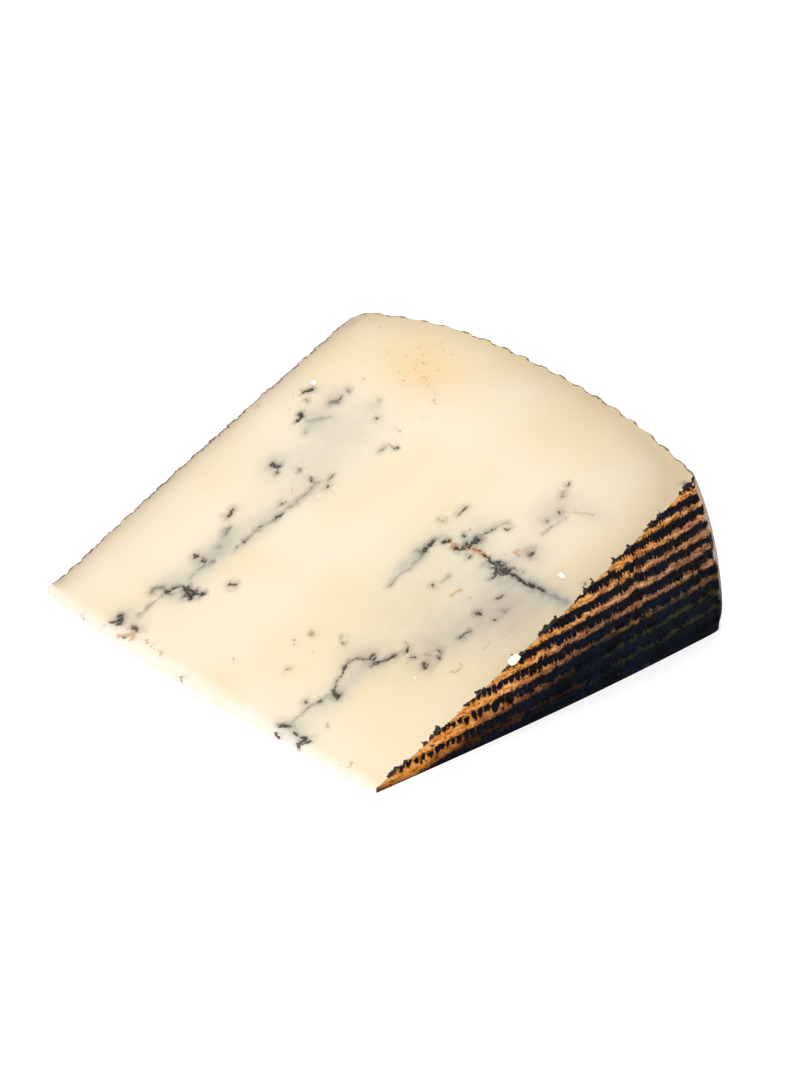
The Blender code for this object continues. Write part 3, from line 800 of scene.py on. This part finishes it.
# The finished skin: mould leaves pits in the cut face, and every face is joined into one mesh that keeps
# inside the solid's own size. The edges between faces are crisp, apart from the soft one along the tip.
PIT_SHARES = {"dark": 1.0, "notch": 0.8, "brown": 0.6, "ash": 0.5, "line": 0.35}
PIT_DEPTH = 0.35
PIT_GRAIN = 0.35
MM = 0.001
cut_up = np.array([0.0, -cut_z, cut_y])
pit = np.maximum.reduce([share * look[name] for name, share in PIT_SHARES.items()])
grain = PIT_GRAIN * uneven(px, pr, 0.55, 21) * pit
form += ((grain - PIT_DEPTH * smooth_step(0.4, 0.9, pit)) * on["top"])[:, None] * cut_up
low_corner, high_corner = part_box("cheese_wedge")
WHEEL_ORIGIN = Vector((low_corner.x * 1000 + WHEEL_HEIGHT, high_corner.y * 1000 - WHEEL_RADIUS, 0))
low, high = np.array(low_corner) / MM, np.array(high_corner) / MM
where = np.clip(form + np.array(WHEEL_ORIGIN), low, high)

# Every triangle turned to face out of the wedge
OUTWARD = {
    "top": (0, -1, 2), "bottom": (0, 0, -1), "tip": (0, -1, 0.3),
    "front": (1, 0, 0), "back": (-1, 0, 0), "side": (0, 1, 0.2),
}
for name, faces in patches.items():
    a, b, c = (where[faces[:, k]] for k in range(3))
    if np.sum(np.cross(b - a, c - a) @ np.array(OUTWARD[name], float)) < 0:
        patches[name] = faces[:, ::-1]
triangles = np.concatenate(list(patches.values()))
RIND_PATCHES = ("front", "back", "side")
is_rind = np.concatenate([np.full(len(faces), name in RIND_PATCHES) for name, faces in patches.items()])

mesh = bpy.data.meshes.new("cheese")
mesh.from_pydata((where * MM).tolist(), [], triangles.tolist())
mesh.polygons.foreach_set("material_index", is_rind.astype(np.int32))
mesh.polygons.foreach_set("use_smooth", np.ones(len(triangles), bool))
pairs = np.zeros(len(mesh.edges) * 2, np.int32)
mesh.edges.foreach_get("vertices", pairs)
pairs = pairs.reshape(-1, 2)
faces_met = sum(mask.astype(int) for mask in on.values())
cut_edge = (faces_met[pairs] > 1).all(1)
soft_edge = (on["tip"] & on["top"])[pairs].all(1)
sharp = mesh.attributes.new("sharp_edge", "BOOLEAN", "EDGE")
sharp.data.foreach_set("value", cut_edge & ~soft_edge)
for name, values in look.items():
    attribute = mesh.attributes.new(name, "FLOAT", "POINT")
    attribute.data.foreach_set("value", values.astype(np.float32))
mesh.update()
cheese = bpy.data.objects.new("cheese", mesh)
bpy.context.scene.collection.objects.link(cheese)

# Its paste: pressed sheep's milk curd, cut with a wire. The eye sees an ivory, slightly moist and waxy
# surface that light soaks into, beige where it has dried and with painted shade towards its edges, a painted
# highlight along the tip, and haze, stains and olive grains of mould.
PER_MM = 1000.0


def linear(code):
    """An sRGB hex colour as linear RGBA."""
    parts = [int(code[i:i + 2], 16) / 255 for i in (1, 3, 5)]
    return [c / 12.92 if c <= 0.04045 else ((c + 0.055) / 1.055) ** 2.4 for c in parts] + [1.0]


def add(material, kind, inputs, **settings):
    """Adds a node with its settings, sets or links its inputs, and returns its outputs."""
    node = material.node_tree.nodes.new("ShaderNode" + kind)
    for name, value in settings.items():
        setattr(node, name, value)
    for socket, value in inputs.items():
        if isinstance(value, bpy.types.NodeSocket):
            material.node_tree.links.new(value, node.inputs[socket])
        else:
            node.inputs[socket].default_value = value
    return node.outputs


paste = bpy.data.materials.new("wire_cut_ivory_paste")
paste.use_nodes = True
at = add(paste, "TexCoord", {})["Object"]
PASTE_MARKS = (
    "dried_and_shaded", "murk_and_shade", "haze", "flush", "smudge", "lip", "stain", "skin_line", "line", "ash", "rust", "brown",
    "dark", "notch",
)
mark = {name: add(paste, "Attribute", {}, attribute_name=name)["Fac"] for name in PASTE_MARKS}
PASTE_NOISE = {
    "broad": (26, 2.0), "cloud": (3.0, 3.0), "speck": (0.9, 1.0), "grain": (0.6, 1.5), "fine": (0.8, 3.0),
}
noise = {
    name: add(paste, "TexNoise", {"Vector": at, "Scale": PER_MM / size, "Detail": detail})["Fac"]
    for name, (size, detail) in PASTE_NOISE.items()
}

# Haze and smudges come in clouds, and every stain and vein breaks up into grains
clouded = add(paste, "Math", {0: noise["cloud"], 1: 0.55}, operation="ADD")[0]
for name in ("murk_and_shade", "haze", "smudge"):
    mark[name] = add(paste, "Math", {0: mark[name], 1: clouded}, operation="MULTIPLY")[0]
orange = add(paste, "Math", {0: mark["flush"], 1: 0.35, 2: noise["speck"]}, operation="MULTIPLY_ADD")[0]
flush = add(paste, "Math", {0: mark["flush"], 1: noise["cloud"]}, operation="MULTIPLY")[0]
shift = add(paste, "Math", {0: noise["grain"], 1: 1.3, 2: -0.65}, operation="MULTIPLY_ADD")[0]
for name in ("stain", "skin_line", "line", "ash", "rust", "brown", "notch"):
    mark[name] = add(paste, "Math", {0: mark[name], 1: shift}, operation="ADD")[0]
gain = add(paste, "Math", {0: noise["grain"], 1: 3.4, 2: -0.7}, operation="MULTIPLY_ADD")[0]
mark["dark"] = add(paste, "Math", {0: mark["dark"], 1: gain}, operation="MULTIPLY")[0]
tone = add(paste, "MapRange", {"Value": noise["grain"], "From Min": 0.44, "From Max": 0.68})["Result"]
olive = add(paste, "Mix", {0: tone, 6: linear("#151a14"), 7: linear("#5c6250")}, data_type="RGBA")[2]

# Coats of colour over the ivory, from the first to the last: what drives each, between which two values it
# comes in and how strong it gets, how it rises, and its colour
PASTE_IVORY = "#eee1c6"
PASTE_COATS = [
    (noise["broad"], 0.4, 0.65, 1.0, "LINEAR", linear("#ebdab3")),       # warmer patches
    # painted shade mixed in: the dried beige also darkens the paste towards its edges
    (mark["dried_and_shaded"], 0.0, 1.0, 0.85, "LINEAR", linear("#c0ae8e")),          # dried beige
    # the pinkish grey also holds painted shade along the back edge
    (mark["murk_and_shade"], 0.0, 1.0, 1.0, "LINEAR", linear("#aea095")),          # pinkish grey
    (mark["haze"], 0.0, 1.0, 1.0, "LINEAR", linear("#acb0a4")),          # grey-green
    (flush, 0.0, 1.0, 1.0, "LINEAR", linear("#ecc487")),                 # warm flush
    (orange, 0.98, 1.08, 0.55, "LINEAR", linear("#c98344")),             # orange specks
    (noise["speck"], 0.76, 0.82, 0.5, "LINEAR", linear("#fbf6ec")),      # white flecks
    (mark["smudge"], 0.0, 1.0, 1.0, "LINEAR", linear("#857c70")),        # soft grey round the veins
    # painted highlight: the white lip is paler where the rounded tip faces the light
    (mark["lip"], 0.0, 1.0, 0.6, "LINEAR", linear("#fbf5ea")),           # white lip of the tip
    (mark["stain"], 0.45, 0.8, 0.55, "SMOOTHSTEP", linear("#b98a55")),   # rubbed off the rind
    (mark["skin_line"], 0.45, 0.75, 0.8, "SMOOTHSTEP", linear("#4d463f")),
    (mark["line"], 0.35, 1.2, 0.55, "SMOOTHSTEP", linear("#6b6a5f")),
    (mark["ash"], 0.4, 0.95, 0.7, "SMOOTHSTEP", linear("#6d7266")),
    (mark["rust"], 0.34, 0.9, 0.6, "SMOOTHSTEP", linear("#bf8440")),
    (mark["brown"], 0.45, 0.9, 0.85, "SMOOTHSTEP", linear("#573a22")),
    (mark["dark"], 0.36, 0.78, 0.94, "SMOOTHSTEP", olive),
    (mark["notch"], 0.5, 0.65, 0.97, "LINEAR", linear("#050608")),
]
colour = linear(PASTE_IVORY)
for value, start, end, most, rise, tone in PASTE_COATS:
    span = {"Value": value, "From Min": start, "From Max": end, "To Max": most}
    share = add(paste, "MapRange", span, interpolation_type=rise)["Result"]
    colour = add(paste, "Mix", {0: share, 6: colour, 7: tone}, data_type="RGBA")[2]
shader = paste.node_tree.nodes["Principled BSDF"]
paste.node_tree.links.new(colour, shader.inputs["Base Color"])
for name, value in (
    ("Roughness", 0.48), ("Specular IOR Level", 0.15), ("Subsurface Weight", 0.3), ("Subsurface Scale", 1.0),
    ("Subsurface Radius", (0.0032, 0.0024, 0.0015)),
):
    shader.inputs[name].default_value = value
bump = add(paste, "Bump", {"Height": noise["fine"], "Strength": 0.25, "Distance": 0.00015})["Normal"]
paste.node_tree.links.new(bump, shader.inputs["Normal"])

# Its rind: dried curd skin, brushed and smeared, with blue-black mould in the print. The eye sees matt
# toffee ridges, fibrous along the reeds, and between them deep, slightly glossy black with a blue tinge and
# painted highlights as bluish glints.
rind = bpy.data.materials.new("mat_printed_natural_rind")
rind.use_nodes = True
at = add(rind, "TexCoord", {})["Object"]
along_reeds = add(rind, "Mapping", {"Vector": at, "Scale": (1.0, 0.28, 1.0)})["Vector"]
RIND_MARKS = ("far", "gilt_and_highlight", "growth", "rim", "mould")
mark = {name: add(rind, "Attribute", {}, attribute_name=name)["Fac"] for name in RIND_MARKS}
RIND_NOISE = {
    "fibre": (along_reeds, 0.6, 3.0), "grain": (at, 0.45, 2.0),
    "patch": (at, 7.0, 2.0), "crust": (at, 0.42, 3.0),
}
noise = {
    name: add(rind, "TexNoise", {"Vector": place, "Scale": PER_MM / size, "Detail": detail})["Fac"]
    for name, (place, size, detail) in RIND_NOISE.items()
}

# The mould: ragged by its grains, with a wider, browner fringe along its edges, blue here and there, and
# painted highlights as bluish glints on its grains
green = add(rind, "Math", {0: mark["far"], 1: 0.5, 2: noise["patch"]}, operation="MULTIPLY_ADD")[0]
ragged = {}
for name, grains, swing in (("mould", noise["grain"], 1.5), ("fringe", noise["crust"], 1.9)):
    shift = add(rind, "Math", {0: grains, 1: swing, 2: -swing / 2}, operation="MULTIPLY_ADD")[0]
    ragged[name] = add(rind, "Math", {0: mark["mould"], 1: shift}, operation="ADD")[0]
GROWN = {"From Min": 0.05, "From Max": 0.8, "To Max": 0.95}
# painted highlights: bluish glints on the grains of the mould
PAINTED_GLINT = {"From Min": 0.56, "From Max": 0.72, "To Max": 0.35}
tones = {}
for name, value, span, under_tone, over_tone in (
    ("overgrown", green, {"From Min": 0.78, "From Max": 0.95}, linear("#0f0a08"), linear("#182217")),
    ("fringe", mark["growth"], GROWN, linear("#43200f"), "overgrown"),
    ("blue", noise["patch"], {"From Min": 0.35, "From Max": 0.65}, linear("#030405"), linear("#050d1b")),
    ("mould", noise["grain"], PAINTED_GLINT, "blue", linear("#28354a")),
):
    share = add(rind, "MapRange", {"Value": value, **span})["Result"]
    pair = [tones[tone] if isinstance(tone, str) else tone for tone in (under_tone, over_tone)]
    tones[name] = add(rind, "Mix", {0: share, 6: pair[0], 7: pair[1]}, data_type="RGBA")[2]

# Coats of colour over the toffee skin, as for the paste
RIND_TOFFEE = "#cb7526"
RIND_COATS = [
    (mark["far"], 0.0, 1.0, 1.0, "LINEAR", linear("#a8714e")),        # pinker towards the side
    # partly painted highlight: the golden ridges under the cut edge also stand for light along that edge
    (mark["gilt_and_highlight"], 0.0, 1.0, 0.6, "LINEAR", linear("#e09a45")),       # golden under the cut edge
    (noise["fibre"], 0.5, 0.72, 0.7, "LINEAR", linear("#f0c088")),    # pale fibres
    (noise["fibre"], 0.48, 0.3, 0.8, "LINEAR", linear("#522911")),    # and dark ones
    (mark["growth"], *GROWN.values(), "LINEAR", tones["overgrown"]),
    (mark["rim"], 0.0, 1.0, 0.8, "LINEAR", linear("#b3a296")),
    (ragged["fringe"], 0.1, 0.55, 0.85, "LINEAR", tones["fringe"]),
    (ragged["mould"], 0.46, 0.56, 0.98, "SMOOTHSTEP", tones["mould"]),
]
colour = linear(RIND_TOFFEE)
for value, start, end, most, rise, tone in RIND_COATS:
    span = {"Value": value, "From Min": start, "From Max": end, "To Max": most}
    share = add(rind, "MapRange", span, interpolation_type=rise)["Result"]
    colour = add(rind, "Mix", {0: share, 6: colour, 7: tone}, data_type="RGBA")[2]
shader = rind.node_tree.nodes["Principled BSDF"]
shader.inputs["Specular IOR Level"].default_value = 0.02
rind.node_tree.links.new(colour, shader.inputs["Base Color"])
# The last share is the mould's: it is the glossier of the two
gloss = add(rind, "MapRange", {"Value": share, "To Min": 0.55, "To Max": 0.42})["Result"]
rind.node_tree.links.new(gloss, shader.inputs["Roughness"])
bump = add(rind, "Bump", {"Height": noise["fibre"], "Strength": 0.6, "Distance": 0.00025})["Normal"]
grainy = {"Height": noise["grain"], "Strength": 0.5, "Distance": 0.0002, "Normal": bump}
bump = add(rind, "Bump", grainy)["Normal"]
rind.node_tree.links.new(bump, shader.inputs["Normal"])
mesh.materials.append(paste)
mesh.materials.append(rind)
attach(cheese, "root")
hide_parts("cheese_wedge")

# White curd crumbs: bits of soft curd that the wire tore off and left on the cut face, pressed on a little.
# They have dried since. Each has its place (x, r) and its half sizes along x, r and up.
CRUMBS = [
    ((-92.0, 66.3), (0.7, 0.6, 0.35)),
    ((-7.5, 55.0), (0.9, 0.5, 0.3)),
    ((-0.3, 36.3), (0.85, 1.2, 0.55)),
    ((-66.9, 43.2), (0.3, 0.25, 0.15)),
    ((-14.2, 22.4), (0.3, 0.2, 0.15)),
]
CRUMB_LIFT = 0.3
CRUMB_SQUARENESS = 0.8

# Dry curd, whiter and duller than the fresh paste, with a soft edge where light gets into it
curd = bpy.data.materials.new("dried_white_curd")
curd.use_nodes = True
for name, value in (
    ("Base Color", linear("#f7f0e2")), ("Roughness", 0.6),
    ("Subsurface Weight", 0.2), ("Subsurface Radius", (0.002, 0.0015, 0.001)),
):
    curd.node_tree.nodes["Principled BSDF"].inputs[name].default_value = value
axes = np.array([(1.0, 0, 0), (0, cut_y, cut_z), cut_up])
for number, ((x, r), halves) in enumerate(CRUMBS):
    ball = bmesh.new()
    bmesh.ops.create_icosphere(ball, subdivisions=3, radius=1.0)
    x, r = np.array([x]), np.array([r])
    centre = wedge_form(x, r * cut_y, r * cut_z, 0 * x, 0 * x)[0] + CRUMB_LIFT * halves[2] * cut_up
    turns = np.array([v.co for v in ball.verts])
    swell = 0.75 + 0.5 * lumps(turns[:, 0] + 9 * number, turns[:, 1] + 3 * turns[:, 2], 0.8, 81 + number)
    turns = np.sign(turns) * np.abs(turns) ** CRUMB_SQUARENESS * swell[:, None] * halves
    spots = centre + np.array(WHEEL_ORIGIN) + turns @ axes
    for vertex, spot in zip(ball.verts, np.clip(spots, low, high)):
        vertex.co = spot * MM
    crumb_mesh = bpy.data.meshes.new(f"curd_crumb_{number}")
    ball.to_mesh(crumb_mesh)
    ball.free()
    crumb_mesh.materials.append(curd)
    crumb = bpy.data.objects.new(f"curd_crumb_{number}", crumb_mesh)
    bpy.context.scene.collection.objects.link(crumb)
    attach(crumb, "root")

# The plain pale surface that the wedge lies on: a sheet of matt white card, a tenth of a millimetre lower
# so that the two never touch in the picture
FLOOR_HALF = 3.0
FLOOR_Z = -0.0001
floor_mesh = bpy.data.meshes.new("floor")
floor_corners = [(x * FLOOR_HALF, y * FLOOR_HALF, FLOOR_Z) for x, y in ((-1, -1), (1, -1), (1, 1), (-1, 1))]
floor_mesh.from_pydata(floor_corners, [], [(0, 1, 2, 3)])
floor = bpy.data.objects.new("floor", floor_mesh)
bpy.context.scene.collection.objects.link(floor)
white = bpy.data.materials.new("white_card")
white.use_nodes = True
for name, value in (
    ("Base Color", linear("#fafafb")), ("Roughness", 0.9),
    ("Emission Color", linear("#ffffff")), ("Emission Strength", 0.28),
):
    white.node_tree.nodes["Principled BSDF"].inputs[name].default_value = value
floor_mesh.materials.append(white)

# Soft light: a wide sheet overhead, a weak one from the tip's side and a warm one from the striped side, in
# a bright room
ROOM_COLOUR, ROOM_STRENGTH = "#f3f6ff", 0.68
LIGHTS = [
    ("overhead_sheet", (-0.02, 0.08, 0.95), 0.9, 4.6, "#fffaf2"),
    ("tip_sheet", (-0.1, -0.9, 0.25), 0.5, 0.5, "#ffffff"),
    ("side_sheet", (0.8, -0.5, 0.5), 0.5, 3.2, "#fff6ea"),
]
world = bpy.data.worlds.new("bright_room")
bpy.context.scene.world = world
world.use_nodes = True
world.node_tree.nodes["Background"].inputs["Color"].default_value = linear(ROOM_COLOUR)
world.node_tree.nodes["Background"].inputs["Strength"].default_value = ROOM_STRENGTH
for name, place, size, power, colour in LIGHTS:
    data = bpy.data.lights.new(name, "AREA")
    data.shape = "SQUARE"
    data.size = size
    data.energy = power
    data.color = linear(colour)[:3]
    light = bpy.data.objects.new(name, data)
    light.location = place
    light.rotation_euler = (-Vector(place)).to_track_quat("-Z", "Y").to_euler()
    bpy.context.scene.collection.objects.link(light)

# The camera, at the angle from which the wedge was photographed, which a fit to its outline gave
CAMERA_AZIMUTH = math.radians(50.32)
CAMERA_ELEVATION = math.radians(29.69)
CAMERA_ROLL = math.radians(-1.76)
CAMERA_DISTANCE = 993.8
CAMERA_TARGET = Vector((-69.2, 64.9, 0))
CAMERA_LENS = 168.2
back = Vector((
    math.sin(CAMERA_AZIMUTH) * math.cos(CAMERA_ELEVATION),
    -math.cos(CAMERA_AZIMUTH) * math.cos(CAMERA_ELEVATION),
    math.sin(CAMERA_ELEVATION),
))
right = (-back).cross(Vector((0, 0, 1))).normalized()
up = right.cross(-back)
turned_right = right * math.cos(CAMERA_ROLL) + up * math.sin(CAMERA_ROLL)
turned_up = -right * math.sin(CAMERA_ROLL) + up * math.cos(CAMERA_ROLL)
eye = (CAMERA_TARGET + back * CAMERA_DISTANCE + WHEEL_ORIGIN) * MM
camera = bpy.data.objects.new("camera", bpy.data.cameras.new("camera"))
camera.data.lens = CAMERA_LENS
camera.matrix_world = Matrix.Translation(eye) @ Matrix((turned_right, turned_up, back)).transposed().to_4x4()
bpy.context.scene.collection.objects.link(camera)
bpy.context.scene.camera = camera
bpy.context.scene.view_settings.view_transform = "Standard"
